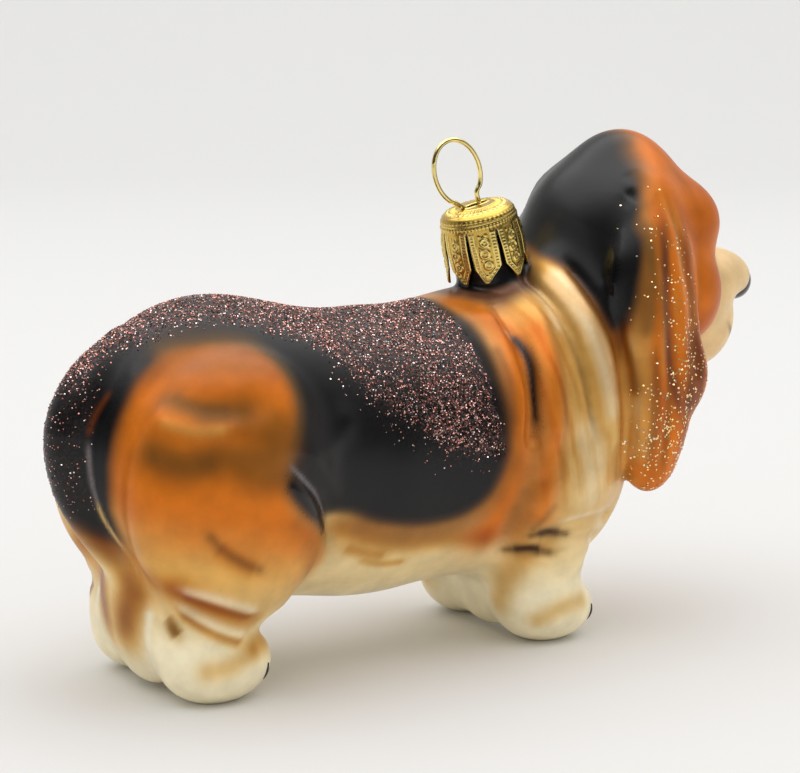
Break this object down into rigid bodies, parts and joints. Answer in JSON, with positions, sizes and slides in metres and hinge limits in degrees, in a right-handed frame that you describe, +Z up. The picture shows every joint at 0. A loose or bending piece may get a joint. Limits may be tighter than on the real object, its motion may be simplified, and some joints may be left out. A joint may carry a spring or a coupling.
{
  "type": "glass dog ornament",
  "caption": "Blown glass hanging ornament in the form of a standing basset hound, with a stamped metal cap and a wire loop on its neck.",
  "frame": {"origin": "on the floor, below the middle of the object's length and width", "axes": "+X towards the nose, +Y to the hound's left, +Z up"},
  "size_m": [0.1176, 0.0404, 0.0722],
  "materials": {
    "black_lacquer": "opaque satin black lacquer with fine copper glitter on silvered glass",
    "orange_lacquer": "opaque satin orange and rust lacquer, airbrushed at its edges",
    "gold_lacquer": "opaque satin gold lacquer with brown airbrushed creases",
    "cream_lacquer": "opaque satin cream lacquer, pearly, with brown airbrushed creases",
    "ear_lacquer": "opaque orange-brown lacquer with purple-brown streaks and gold glitter",
    "nose_paint": "opaque gloss black paint",
    "eye_paint": "opaque gloss dark brown paint with a pale rim",
    "gilt_cap": "stamped gilt metal, embossed",
    "gilt_wire": "bright drawn gilt wire"
  },
  "bodies": {
    "root": {"head": "black_lacquer", "muzzle": "cream_lacquer", "nose": "nose_paint", "left_eye": "eye_paint", "right_eye": "eye_paint", "left_ear": "ear_lacquer", "right_ear": "ear_lacquer", "neck": "gold_lacquer", "shoulders": "orange_lacquer", "barrel": "black_lacquer", "rump": "black_lacquer", "tail": "black_lacquer", "left_foreleg": "cream_lacquer", "right_foreleg": "cream_lacquer", "left_forepaw": "cream_lacquer", "right_forepaw": "cream_lacquer", "left_thigh": "orange_lacquer", "right_thigh": "orange_lacquer", "left_hind_paw": "cream_lacquer", "right_hind_paw": "cream_lacquer", "pike": "black_lacquer", "cap": "gilt_cap", "hanger_loop": "gilt_wire"}
  },
  "joints": []
}
